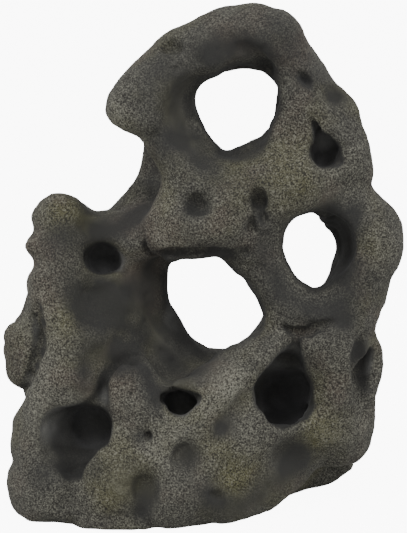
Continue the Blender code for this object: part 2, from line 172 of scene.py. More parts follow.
# Dents are pressed into the skin: centre, reach, and how far the skin sinks (negative raises it).
DENTS = {
    "knob_top": ((-69.9, -12, 155.4), 7, -1.9),
    "lobe_shoulder": ((-93, 2, 87.8), 4, 1.0),
    "flank_notch": ((-85.8, -18, 60.7), 4, 2.4),
    "corner_shoulder": ((-91.4, -25, 46.2), 5, -1.4),
    "corner_low": ((-94.4, -30, 15.9), 5, -1.0),
    "shoulder_hollow": ((75.8, -2, 185), 5, 1.6),
    "shoulder_low": ((78.8, -5, 164.1), 6, -2.4),
    "shoulder_hollow_top": ((61.9, -7.7, 203), 5, 1.5),
    "brow_right": ((53.8, -5, 220.3), 5, 1.2),
    "flank_hollow": ((-55, -27.1, 108.5), 9, 3.2),
    "flank_hollow_low": ((-51.2, -28, 97.9), 7, 1.5),
    "ridge_valley": ((-51.6, -33.5, 80.7), 8, 3),
    "belly_side": ((-49.7, -47.1, 30.2), 4, 1.2),
    "foot_hollow_deep": ((43.8, -25.6, 29.7), 8.5, 3.6),
    "right_patch": ((68, -25.9, 97.4), 4, 1.4),
    "right_low": ((80.7, -5, 31.7), 6, 1.6),
    "right_bump": ((83.4, -4, 51.9), 4, -1.2),
    "chest_by_pits": ((21.4, -31.4, 155.8), 4, 1.0),
    "foot_ridge": ((36, -27.4, 27.7), 5, -1.5),
    "top_right": ((37.7, 0, 241.4), 6, 1.0),
    "base_lump_a": ((0.7, -42.9, 48.8), 7, -1.6),
    "base_lump_b": ((19.8, -41.4, 38.3), 7, -1.6),
    "base_lump_c": ((-14.9, -53.5, 17.4), 7, -1.5),
    "base_lump_d": ((-40.6, -49.8, 26.1), 7, -1.4),
    "base_lump_e": ((2.1, -48.8, 30.8), 6, -1.2),
    "base_low_side": ((10.2, -46.5, 22.5), 6, 1.5),
    "eye_floor": ((58.6, -16, 168.4), 4, -1.4),
    "chest_dimple_wide": ((-2.1, -29.5, 155.4), 6, 2.2),
    "chest_dimple_deep": ((-4.5, -30.1, 157), 3.4, 1.4),
    "great_cave_low": ((28.1, -30, 53.7), 3.4, -1.4),
    "great_cave_round": ((22.3, -27, 60.3), 4, -2.8),
    "low_cave_sill": ((-4.1, -38, 56.2), 3.4, -2),
    "shoulder_knob": ((69.6, -6, 200.7), 6, -2.4),
    "shoulder_knob_low": ((72, -8, 194.8), 6, -2),
    "shoulder_edge": ((65.2, -6, 208.9), 6, -2),
    "crown_top_fill": ((27.6, -6, 245.7), 7, -1.6),
    "belly_hollow": ((-7.4, -42, 35.5), 6, 0.9),
    "limb_crease_end": ((31.9, -19.3, 96.1), 4, -1.4),
}

# Grooves are pressed along a path of points: reach, depth, path.
GROOVES = {
    "corner_left": (8, 4.5, [(-69.6, -34.8, 50.2), (-66.1, -31, 39), (-61.3, -33, 31.6)]),
    "tunnel_funnel": (6, 2.6, [
        (-0.2, -20.2, 221.9), (6.8, -18.9, 227.4), (15.2, -18.6, 229.2), (22.7, -18.5, 227.3),
        (29.4, -12.6, 218.7),
    ]),
    "belly_groove": (3, 1.0, [(22.3, -39.6, 27.7), (20.3, -41.9, 18.4)]),
    "knob_cave_brow": (4.5, -3.4, [
        (-57, -17, 136), (-52.4, -13, 136), (-47.6, -12, 135.7), (-41.9, -13, 134.5),
    ]),
    "corner_sill": (6, -3.6, [(-68.6, -42.3, 21.6), (-64, -38.7, 19.3), (-60.2, -39.1, 20.5)]),
    "corner_fill_low": (5, -2, [(-66.9, -40.4, 11.8), (-65.9, -42.1, 8.4)]),
    "ridge_valley_soft": (8, 2, [(-49.3, -31.9, 85.2), (-53.9, -35.7, 80.3)]),
    "heart_corner_fill": (3.5, -2.6, [(-15.4, -24, 128.3), (-15.6, -10, 124.9), (-15.8, 4, 121.5)]),
    "heart_left": (6, 3.4, [
        (-22, -4.2, 116.5), (-23.9, -6.8, 110.7), (-23, -6.4, 100.6), (-19.6, -5.5, 91.8),
    ]),
    "ridge_fill": (4.5, -4, [
        (-39.2, -36, 77.4), (-41.7, -35, 71.2), (-42.2, -35, 65.3), (-40.8, -36, 59.6),
    ]),
    "corner_rim_fill": (4, -4, [(-48.8, -44, 37.2), (-52.2, -44, 33.2), (-55.6, -43, 28.3)]),
    "knob_cave_floor": (4, -3, [(-55.2, -19, 116.8), (-49.5, -18, 115.5), (-43.4, -15, 116.3)]),
    "knob_valley": (7, 1.8, [(-57, -14.2, 145.6), (-53.4, -11.2, 139)]),
    "corner_slope": (9, 1.6, [(-75.1, -39.3, 48.6), (-73.5, -35.9, 38.6)]),
    "ridge_crease": (3, 1.6, [
        (-36.2, -23.6, 77.9), (-40.5, -25.2, 75.3), (-44.8, -27.7, 71.1), (-47.1, -30.7, 66),
        (-48.1, -31.8, 62.3),
    ]),
    "corner_notch": (3.6, 2.6, [(-93.4, -34, 30.4), (-94.5, -20, 25.8), (-95.6, -6, 21.2)]),
    "chest_end": (6, 4.4, [
        (-23.3, -5.1, 155.8), (-27, -10, 152.5), (-30.3, -13.4, 149.3), (-35, -16.1, 144.6),
    ]),
    "tunnel_left": (7, 1.2, [(-9.2, -14.4, 210.4), (-12, -14.4, 202.8), (-10.2, -12.6, 190.4)]),
    "belly_low_hollow": (6, 1.3, [(-29.8, -44.8, 23.4), (-27, -44.9, 15.9), (-29.4, -46.9, 10.1)]),
    "knob_waist": (4, 3.6, [(-83.2, -20, 124.9), (-83.9, -10, 122.4), (-84.6, 0, 119.9)]),
    "knob_waist_top": (3.4, 2.4, [(-82.8, -16, 140.1), (-83.4, -6, 137.8)]),
    "under_ridge_groove": (3.2, 2.8, [
        (21.6, -38.7, 68.3), (17.4, -35.7, 61.5), (13.1, -38.4, 56.3), (8.8, -41, 51.2),
    ]),
    "right_tunnel_low": (3.5, 1.8, [(61.1, -18, 125.4), (62, 0, 120.9), (62.9, 18, 116.5)]),
    "low_cave_top": (4, -3, [(-16, -34, 69.4), (-11.2, -32, 69.3), (-6.4, -34, 69.4)]),
    "tunnel_floor_fill": (4.5, -1.9, [(16.5, -1, 175.7), (19.9, -1, 176.7), (22.8, -1, 178.2)]),
    "tunnel_point": (3, 1.8, [(10.8, -4, 177.8), (10.9, 8, 175.4), (11, 20, 172.9)]),
}

# The next three tables hold round patches of finish, by the feature that they lie on and from its top
# down. A patch is (across, depth, height, reach, strength).

# Stains and painted light: positive patches darken and smooth the stone, partly as real staining and
# partly as painted shade in tunnels, undercuts and under the chest; negative ones are painted light, pale
# and crusted.
STAINS_AND_PAINTED_LIGHT = {
    "crown": [
        (32.1, -15.7, 241, 8, 0.25), (19.4, -16.3, 240.1, 18, 0.33), (-1.6, -18.9, 229.7, 14, 0.25),
        (41.5, -16.3, 229.3, 10, 0.3), (40.6, -16.7, 227, 16, 0.45), (-15.7, -19.2, 222.7, 16, 0.4),
    ],
    "crown tunnel": [
        (14.7, -18.6, 230.6, 7, 0.6), (4.4, -19.4, 226.5, 7, 0.6), (24.6, -18.1, 225.8, 8, 0.7),
        (4.9, -19.5, 224.1, 6, 0.5), (-11.1, -15.9, 209.7, 8, 0.45), (-5.5, 4, 203.3, 7, -0.4),
        (-12.5, -14.3, 199.9, 8, 0.45), (-3.6, 4, 193.5, 7, -0.4), (-10.6, -14.2, 188.3, 8, 0.5),
        (-3.1, -6, 185.7, 6, 0.4), (-1.2, -8, 180.8, 6, 0.5), (4, -10, 173.9, 6, 0.4),
    ],
    "brow": [
        (-16.7, -14.4, 226.6, 5, 0.3), (56.2, -4, 214.3, 8, 0.3), (46.8, -15, 213.1, 2.6, 1),
        (49.2, -14.9, 211.5, 10, 0.4), (49.2, -15.1, 211, 2.6, 1), (50.6, -15, 210, 2, 0.8),
        (64.8, -5.8, 204.1, 9, 0.25),
    ],
    "shoulder": [
        (60.7, 10.4, 210.4, 12, 0.3), (61.9, -7.7, 203, 5, 0.8), (64.4, -16.5, 193.6, 14, 0.35),
    ],
    "horn and waist": [
        (-20.3, -23.3, 214.8, 10, 0.25), (-27.3, -24.9, 209.5, 14, 0.3), (-36.8, -23.2, 200.6, 4, 0.5),
        (-26.4, -27.3, 200.4, 9, 0.25), (-40.2, -21.5, 195, 9, -1), (-19.5, -24, 187.8, 7, 0.35),
        (-17.6, -24.1, 184.5, 9, 0.35), (-11.1, -18.9, 183.5, 9, 0.35), (-9.2, -21.9, 179.3, 9, 0.3),
        (-21.5, -21.7, 177.8, 6, 0.35), (-0.7, -20.2, 174.1, 9, 0.7), (0.2, -28.6, 169.1, 8, 0.3),
        (11.5, -26.6, 166.8, 12, 0.3), (26.5, -30.2, 166.6, 10, 0.25), (-27.5, -10.3, 152, 8, 0.7),
        (-36.1, -10.7, 147.2, 7, 0.6),
    ],
    "eye": [
        (53.6, -16.2, 187.8, 5, -0.5), (56.9, -7, 182.5, 4, -0.35), (57.6, -3, 179.8, 6, -0.6),
        (63.6, -9.3, 173.8, 4, 0.5), (59.5, -6, 171.2, 5, 0.9),
    ],
    "chest": [
        (-24.8, 0.7, 161.9, 7, -0.35), (26.2, -27.3, 158.8, 3.6, 0.6), (-3.5, -29.5, 155.4, 5.5, 0.65),
        (26.7, -25.1, 154.4, 3.6, 0.9), (-5.9, -30.7, 153.3, 4, 0.45), (0.2, -32, 152.6, 4, 0.5),
        (-7.3, -32.6, 152.2, 6, 0.4), (-28.9, -11.4, 150.8, 8, 0.45), (27.6, -27.1, 150.5, 6, 0.35),
        (28.5, -28.5, 148.9, 2.6, 0.7), (22.9, -28.3, 145.4, 2.6, 0.8), (-8.7, -36.1, 142, 5, 0.3),
        (-20.5, -30.2, 138.6, 6, -0.35), (-13.4, -33, 136.9, 4, -0.5), (-28.3, -22.7, 136.3, 3, 0.8),
        (-19.6, -29.9, 135.6, 4, -0.7), (-25.5, -19.8, 130.2, 3, 0.8),
    ],
    "undercut": [
        (29.5, -27.2, 141.8, 6, 0.5), (-0.7, -31.2, 133.5, 5, 0.7), (-7.3, -30.9, 133, 5, 0.7),
        (28.7, -25.1, 132.5, 6, 0.5), (5.9, -27.7, 132.2, 5, 0.9), (19.2, -25.6, 131.7, 3, 0.6),
        (-13.5, -29.1, 131.6, 5, 0.7), (-19.7, -22.7, 129.5, 5, 0.7), (12.6, -22.5, 129.4, 4, 0.8),
        (-6.4, -22, 128.8, 6, 0.8), (1.7, -22, 128.8, 6, 0.8), (-14.1, -21, 127.6, 6, 0.8),
        (9.8, -18, 126.9, 6, 0.8),
    ],
    "knob and arm": [
        (-36, -16.7, 142.7, 8, 0.5), (-45.7, -11.8, 139.1, 8, 0.6), (-52, -11, 138.9, 8, 0.55),
        (-66.2, -23.1, 137.9, 10, 0.6), (-72.9, -22.4, 137.7, 8, 0.3), (-40.3, -16.2, 137.2, 6, 0.4),
        (-58.9, -16.6, 135.9, 8, 0.4), (15.5, -17.5, 122.8, 6, -0.3), (-65.2, -28.4, 122.6, 10, 0.25),
        (-49.6, 0, 122.4, 8, -0.2), (-65.2, -29.7, 113.6, 8, 0.35), (25.1, -20.2, 112.7, 6, -0.3),
    ],
    "column": [
        (-84, -14, 129.8, 5, -0.4), (-31.3, -15.6, 127.3, 6, -0.5), (-39.5, -13.7, 123.8, 7, -0.9),
        (-38.1, -15.6, 114.4, 10, 0.4), (-84.2, -14, 114, 6, -0.4), (-47.6, -20.1, 111.6, 7, 0.6),
        (-60.5, -30, 109.3, 8, 0.4), (-78.8, -26, 108.2, 9, -0.4), (-43.8, -20.4, 107.8, 11, 0.3),
        (-54, -26.8, 107.5, 10, 0.8), (-56.8, -29.5, 100.3, 6, 0.5), (-71, -32.4, 100.1, 6, -0.3),
        (-45.6, -24, 97.8, 10, 0.35), (-51.7, -28, 94, 7, 0.35), (-59.1, -34, 93.2, 6, 0.3),
        (-72, -34.8, 86, 9, -0.3), (-77, -33.6, 74.8, 7, -0.5), (-83.3, -26, 64.6, 7, -0.6),
        (-77, -35.2, 63.3, 8, -0.4),
    ],
    "right tunnel": [
        (59.2, -16.6, 152, 5, 0.7), (71.2, -16.4, 148, 7, 0.6), (59.6, -9, 147.3, 6, 0.8),
        (69.3, -16.4, 146.1, 8, 0.4), (89.2, -11.3, 145.9, 8, 0.3), (68.3, -9, 142.9, 6, 1),
        (70.9, -15, 140.9, 7, 0.5), (71.2, -11, 135, 6, 1), (70.8, -11, 126.1, 6, 1),
        (71.8, -20.4, 124.5, 8, 0.5), (29.7, -23.2, 123.3, 9, 0.5), (70.8, -13, 121.7, 6, 0.6),
        (68.4, -12, 119.5, 6, 0.8), (66.7, -9, 117.2, 6, 0.9), (35, -22.4, 117.1, 8, 0.4),
        (65.4, -16, 116.5, 6, 0.7), (80.5, -20.9, 114.8, 10, 0.3), (36.5, -23.6, 110.6, 9, 0.55),
        (70.9, -23.2, 109.5, 12, 0.15), (68, -22.7, 109.4, 9, 0.45), (47.5, -23.5, 103.6, 9, 0.6),
        (65.2, -24.5, 101.9, 8, 0.3), (59.5, -24, 101.8, 9, 0.6),
    ],
    "right column": [
        (69.3, -19.6, 171.1, 9, -0.25), (82.1, -19.3, 137, 9, -0.25), (68, -25.9, 97.4, 4, 0.8),
        (68, -26.1, 93.4, 9, 0.3), (68.2, -22.6, 55.5, 7, 0.25), (77.8, -11.7, 38.9, 8, -0.4),
    ],
    "middle tunnel": [
        (-24.8, -6, 121.9, 6, 0.7), (-23, -5.4, 113.8, 8, 0.65), (-33.9, -14.2, 107.6, 10, 0.45),
        (-25.8, -8.6, 103.7, 9, 0.25), (-23, -6.4, 100.6, 8, 0.55), (-40.9, -21.3, 98.1, 9, 0.4),
        (-15.3, 0, 94.4, 7, -0.4), (26.5, 0, 92.3, 6, -0.4), (-31.5, -15.4, 90.5, 9, 0.4),
        (-27.8, -11.9, 87.1, 8, 0.45), (-32.9, -20.4, 81.9, 9, 0.5), (-32.4, -23.6, 78.9, 8, 0.45),
        (-18.7, -10.6, 78.1, 7, 0.5), (2.2, -28.2, 76.2, 9, 0.5), (-3.6, -23.6, 73.4, 9, 0.25),
        (-9, -9.2, 72.7, 9, 0.5), (-1.7, -32.7, 72.5, 9, 0.3), (-28.8, -37.7, 72, 9, 0.3),
        (-15.3, -13, 69.8, 9, 0.3), (1.2, -39.2, 69, 6, 0.3), (-24.5, -37.7, 68, 5, 0.6),
        (-15.2, -16.4, 66.7, 9, 0.3), (-20.7, -39.4, 61.1, 5, 0.6),
    ],
    "side lobe": [
        (-77, -25, 104, 3, 1.5), (-75.9, -22, 96.3, 3, 1.6), (-83.6, -14, 92.6, 8, -0.5),
        (-76.1, -20, 88.3, 3, 1.6), (-83.8, -14, 82.6, 8, -0.5), (-77.1, -21, 81.1, 3, 1.6),
        (-87.6, -15, 80.4, 9, 0.5), (-88.6, -0.7, 77.9, 7, 0.4), (-96.7, 4, 77.6, 5, -0.4),
        (-88.6, -1.2, 75.5, 7, 0.3), (-79.6, -21, 73.6, 3, 1.4), (-85.9, -13, 72.3, 8, -0.5),
        (-90.2, -14, 72.1, 8, 0.5),
    ],
    "side cleft": [
        (72.4, -19, 83.5, 3, 0.8), (76, -15, 82.9, 5, 1), (81, -12, 79.6, 6, -0.8),
        (73.2, -22, 79.4, 3, 0.8), (75.6, -15, 78.4, 5, 1), (72.5, -19, 75.5, 3, 0.8),
        (80.3, -10, 70.9, 5, -0.6), (77.6, -14, 61, 4, 1), (78.5, -10.3, 59.9, 3.5, 0.6),
    ],
    "ridge": [
        (29.9, -26.6, 87.1, 7, 0.45), (30.3, -27.2, 86.8, 6, 0.3), (27.9, -29.2, 84.4, 10, -0.5),
        (-40, -23.3, 84.2, 6, 0.6), (-49.3, -31.6, 84.1, 8, 0.45), (-55.8, -37.2, 80.8, 7, 0.6),
        (23.1, -34.3, 78.9, 7, 0.45), (23.1, -35.9, 76.9, 6, 0.4), (-39.1, -25.3, 75.3, 5, 0.7),
        (-41, -25.7, 74.4, 7, 0.4), (-56.8, -38.1, 73.1, 8, 0.35), (-54, -36.1, 72.5, 7, 0.3),
        (18.8, -39.5, 70.6, 6, -0.4), (13.5, -39.5, 70.5, 12, -0.9), (21.6, -38.5, 67.8, 3.5, 0.45),
        (17.9, -35.3, 61.4, 3.5, 0.5), (13.6, -38.1, 56.2, 4, 0.65), (9.3, -40.8, 51.6, 4.5, 0.8),
        (7.4, -42, 48, 5, 0.9),
    ],
    "crumbled lump": [
        (-38.7, -37, 78.2, 6, 1), (-29.3, -33, 76.1, 6, 0.6), (-23.6, -33, 73.6, 6, 0.4),
        (-34.9, -41.7, 63.3, 9, -0.35), (-46.6, -32.2, 62.4, 4, -0.5), (-25.4, -41.7, 62.3, 7, 0.5),
        (-42.7, -38, 53.2, 4, 0.5), (-46.4, -40, 51.9, 5, -0.5), (-45.9, -42, 48.5, 4, -0.7),
    ],
    "corner cave": [
        (-65.4, -39.4, 61.6, 6, -0.5), (-75, -38.4, 56.3, 7, -0.5), (-70.1, -34.5, 49.1, 8, 0.2),
        (-72.3, -29, 47.4, 6, -0.4), (-74.3, -37.1, 44, 7, -0.5), (-69.3, -24, 42.8, 9, -0.35),
        (-54.4, -10, 41.5, 9, -0.3), (-67, -32.4, 37.9, 8, 0.3), (-58.4, -34.1, 30.9, 6, 0.8),
        (-51.2, -46.1, 30.9, 5, 0.5), (-62.3, -32.7, 28.4, 5, 0.7), (-76.1, -43.7, 28.1, 7, 0.3),
        (-76.6, -43.8, 27.6, 8, 0.5), (-68.7, -40.6, 24, 5, 0.5), (-65, -40.1, 10.2, 7, 0.3),
    ],
    "low cave": [
        (-11.2, -29.7, 68.1, 7, 0.6), (-19.8, -35.5, 65.4, 5, 0.5), (8.8, -40.9, 64.1, 7, -0.3),
        (10.7, -40.5, 61.9, 6, -0.5), (1.7, -42.2, 61, 8, -0.45), (-8.8, -42.8, 53.2, 8, -0.4),
        (-11.4, -11.3, 53.1, 9, -0.7), (-7.5, -12, 47.7, 7, -0.6), (-15, -45.3, 44.5, 8, -0.3),
    ],
    "great cave": [
        (46.2, -24.1, 86.9, 4, 0.5), (42.4, -24, 80, 7, -0.5), (49.6, -28, 68.1, 5, -0.4),
        (34.6, -15, 67.8, 8, -0.3), (33.1, -18, 67.2, 9, -0.4),
    ],
    "belly": [
        (-29.8, -41.8, 45.9, 4, 0.5), (-30.2, -42.8, 44.8, 4, 0.5), (-25.4, -47.6, 40.3, 10, -0.4),
        (-8.3, -41.7, 37.4, 6, 0.45), (20.8, -41.1, 36.7, 8, -0.3), (13.6, -43.8, 36.1, 3, 0.5),
        (-32.5, -49.3, 34.9, 6, 0.4), (-6.4, -44, 32.7, 6, 0.45), (-18.3, -51.3, 27.6, 9, -0.25),
        (-11.1, -51, 27.5, 9, 0.3), (15, -43.6, 24, 8, -0.3), (-29.4, -44.3, 22.2, 6, 0.3),
        (-27, -45.1, 15.5, 6, 0.45), (-30.8, -47.6, 9.3, 6, 0.6), (-28.9, -47.2, 9.2, 6, 0.4),
    ],
    "foot": [
        (45.5, -29.5, 40.5, 8, 0.25), (57.3, -22.6, 39.4, 13, -0.35), (57.4, -21.3, 36.9, 8, -0.4),
        (49.7, -22.3, 32.1, 9, 0.35), (43.8, -25.6, 29.7, 9, 0.8), (49.8, -20.4, 27.5, 8, 0.5),
        (71.9, -7.5, 23.2, 6, 0.5), (47.8, -21.5, 23.2, 9, 0.4), (38.4, -28.8, 23.1, 6, 0.6),
        (1.7, -51.1, 20.5, 6, 0.7), (28.1, -35.5, 17.2, 10, 0.4), (38.9, -28.4, 16.9, 8, 0.3),
        (68.2, -4, 16.9, 6, -0.4), (24.2, -38.7, 15.3, 9, 0.4), (9.8, -47.2, 15.2, 7, 0.6),
        (17.5, -43, 10.2, 9, 0.35), (6, -47.7, 9.8, 9, 0.25), (3.1, -48.3, 9.5, 8, 0.3),
    ],
}

# Worn patches have lost their sand and are smooth.
WORN = {
    "crown": [(14.7, -18.6, 228.2, 8, 0.7), (4.4, -19.2, 227.4, 8, 0.7), (25.1, -17.5, 224.3, 8, 0.7)],
    "crown tunnel": [
        (-12, -17.4, 210, 9, 0.9), (-13.4, -15.4, 200.1, 9, 0.9), (-11.1, -14.1, 189.3, 9, 0.9),
        (-5.4, -17.1, 180.2, 8, 0.7),
    ],
    "shoulder": [(63.4, -6.4, 204.2, 5, 0.9), (69.6, -5.8, 199.7, 4, 0.5)],
    "knob and arm": [
        (-27.9, -13, 151.2, 9, 0.5), (-57.1, -13.7, 143.5, 6, 0.6), (-42.3, -11.9, 142.1, 8, 0.5),
        (-52, -10.9, 139.9, 8, 0.9),
    ],
    "column": [(-55, -27.1, 108.5, 9, 0.55)],
    "right tunnel": [(59.1, -18.5, 153.9, 7, 0.7)],
    "right column": [(66.1, -26.2, 97.4, 5, 0.6)],
    "middle tunnel": [
        (-25.8, -6.6, 115.6, 9, 0.9), (-42.8, -18.4, 113.2, 9, 0.6), (-33.9, -13.3, 109.9, 10, 0.7),
        (-25.9, -8.5, 101.1, 9, 0.9), (-39, -20.5, 99.4, 9, 0.5), (-20.1, -7.3, 88.3, 8, 0.8),
        (-21.1, -11.2, 78.3, 9, 0.6), (2.1, -30.1, 75.7, 9, 0.7), (-9, -9.2, 72.7, 10, 0.6),
    ],
    "side cleft": [(78.4, -15, 80.4, 6, 0.9)],
    "ridge": [
        (-51.6, -33.8, 83.3, 8, 0.7), (-43.8, -26.4, 82.6, 7, 0.8), (16.5, -36, 60.1, 4, 0.6),
        (9.8, -40.8, 51.1, 5, 0.9),
    ],
    "corner cave": [
        (-55, -36.3, 65.2, 7, 0.7), (-73.2, -38.5, 52.4, 7, 0.6), (-71.7, -34.3, 41.1, 8, 0.6),
        (-67, -34.9, 30.2, 7, 0.5),
    ],
    "low cave": [(-11.2, -30.8, 68, 7, 0.9)],
    "belly": [(-7.4, -41.8, 37, 6.5, 0.9), (-36.4, -49.7, 24.1, 8, 0.7), (-27, -44.6, 16.8, 8, 0.9)],
    "foot": [
        (43.8, -25.6, 29.7, 9, 0.8), (38.4, -29.2, 21.7, 8, 0.8), (4, -49.6, 16, 7, 0.6),
        (28.2, -34.6, 11.9, 8, 0.7), (15.6, -43.5, 9.4, 8, 0.7),
    ],
}

# Tints are olive, and negative ones are painted shade, black, in tunnels, caves, the eye and one slit.
TINTS_AND_SHADE = {
    "crown tunnel": [(27.9, 4, 214.9, 6, -0.4)],
    "brow": [
        (46.4, -12.8, 213, 1.6, -0.6), (47.9, -12, 212, 1.6, -0.7), (49.5, -12.6, 211.1, 1.6, -0.6),
    ],
    "horn and waist": [(12.5, -26.8, 166.8, 12, 0.3)],
    "eye": [(59.5, -6, 170.7, 4, -0.5)],
    "chest": [(45.4, -29.5, 162.6, 14, 0.4), (-15.8, -33.5, 141.8, 10, 0.35)],
    "knob and arm": [(-67.2, -20.2, 145, 16, 0.45)],
    "column": [(-64.3, -32.9, 101.2, 14, 0.6)],
    "right tunnel": [
        (76.9, -19.7, 131.2, 10, 0.4), (70.6, -6, 121.9, 6, -0.5), (67, -13, 118.7, 6, -0.5),
    ],
    "right column": [(55.1, -21.8, 64.8, 10, 0.5), (58.3, -22.5, 40.3, 11, 0.9)],
    "side lobe": [(-88.7, -14, 79.1, 13, 0.4)],
    "great cave": [(47.3, -2, 48.2, 10, -0.4), (42.4, -3, 46, 13, -0.4), (35.5, -6, 44.3, 9, -0.5)],
    "belly": [(16.5, -42.8, 24.8, 12, 0.8), (-46.4, -49.5, 14, 7, 0.5)],
}

TABLE_SIZE = 256  # entries in the shuffled tables behind the noises, a power of two
NOISE_LAYERS = 3
NOISE_GAIN = 1.5  # makes lattice noise run to about -1 and 1
PIT_RADII = (0.2, 0.5)  # least and most, in cells
NO_PIT = 1e-6  # radius in a cell without a pit

# Each noise has its own seed, and a layered noise counts up from it.
WAVE_SEED, PIT_SEED, EDGE_SEED = 11, 23, 41

SKIN_STEPS = 4  # waves and pits are added within this many steps of the skin
HOLLOW_REACH = 3.0  # of the ball in which the stone round a place is measured, in millimetres
SHELTER_ROUNDS, HOLLOW_ROUNDS = 4, 3  # of evening out these two over the skin
EDGE_WANDER, EDGE_SIZE = 0.35, 9.0  # how far a patch's edge strays, and over what distance


def smooth_max(a, b, ease):
    """The larger of two arrays, with the corner where they meet rounded over this width."""
    near = np.maximum(ease - np.abs(a - b), 0) / ease
    return np.maximum(a, b) + near * near * ease / 4


def average_along(values, axis):
    """Averages each point of a grid with its two neighbours along an axis, weighted 1, 2, 1, in place."""
    v = np.moveaxis(values, axis, 0)
    v[1:-1] = (v[:-2] + 2 * v[1:-1] + v[2:]) / 4


def entries_at(table, cells):
    """One entry of a shuffled table for each cell, picked by its three whole numbers in turn."""
    entries = table[cells[:, 0] & (TABLE_SIZE - 1)]
    entries = table[(entries + cells[:, 1]) & (TABLE_SIZE - 1)]
    return table[(entries + cells[:, 2]) & (TABLE_SIZE - 1)]


def lattice_noise(points, seed):
    """Smooth noise from -1 to 1 with lumps about one unit across.

    Each lattice corner holds a random slope. A point takes the height that each of the eight slopes round
    it would give there, blended by 6t^5 - 15t^4 + 10t^3 along each axis.
    """
    random = np.random.default_rng(seed)
    table = random.permutation(TABLE_SIZE)
    slopes = random.normal(size=(TABLE_SIZE, 3))
    slopes /= np.linalg.norm(slopes, axis=1, keepdims=True)
    base = np.floor(points).astype(np.int64)
    within = points - base
    fade = within**3 * (within * (within * 6 - 15) + 10)
    total = np.zeros(len(points))
    for corner in np.ndindex(2, 2, 2):
        slope = slopes[entries_at(table, base + corner)]
        share = np.where(corner, fade, 1 - fade).prod(axis=1)
        total += share * (slope * (within - corner)).sum(axis=1)
    return NOISE_GAIN * total


def layered_noise(points, size, seed):
    """Lattice noise of this size, with finer layers that each have half the size and half the height."""
    total = np.zeros(len(points))
    for layer in range(NOISE_LAYERS):
        total += lattice_noise(points * 2**layer / size, seed + layer) / 2**layer
    return total


def scattered_pits(points, size, share, seed):
    """Round pits, no more than one to a lattice cell: 1 in the middle of a pit and 0 outside it.

    A pit's profile is one less the square of the distance from its middle over its radius. Only this share
    of the cells have one.
    """
    random = np.random.default_rng(seed)
    table = random.permutation(TABLE_SIZE)
    places = random.random((TABLE_SIZE, 3))
    radii = np.where(random.random(TABLE_SIZE) < share, random.uniform(*PIT_RADII, TABLE_SIZE), NO_PIT)
    points = points / size
    base = np.floor(points - 0.5).astype(np.int64)
    deepest = np.zeros(len(points))
    for corner in np.ndindex(2, 2, 2):
        cells = base + corner
        pit = entries_at(table, cells)
        away = points - cells - places[pit]
        deepest = np.maximum(deepest, 1 - (away * away).sum(axis=1) / radii[pit] ** 2)
    return deepest


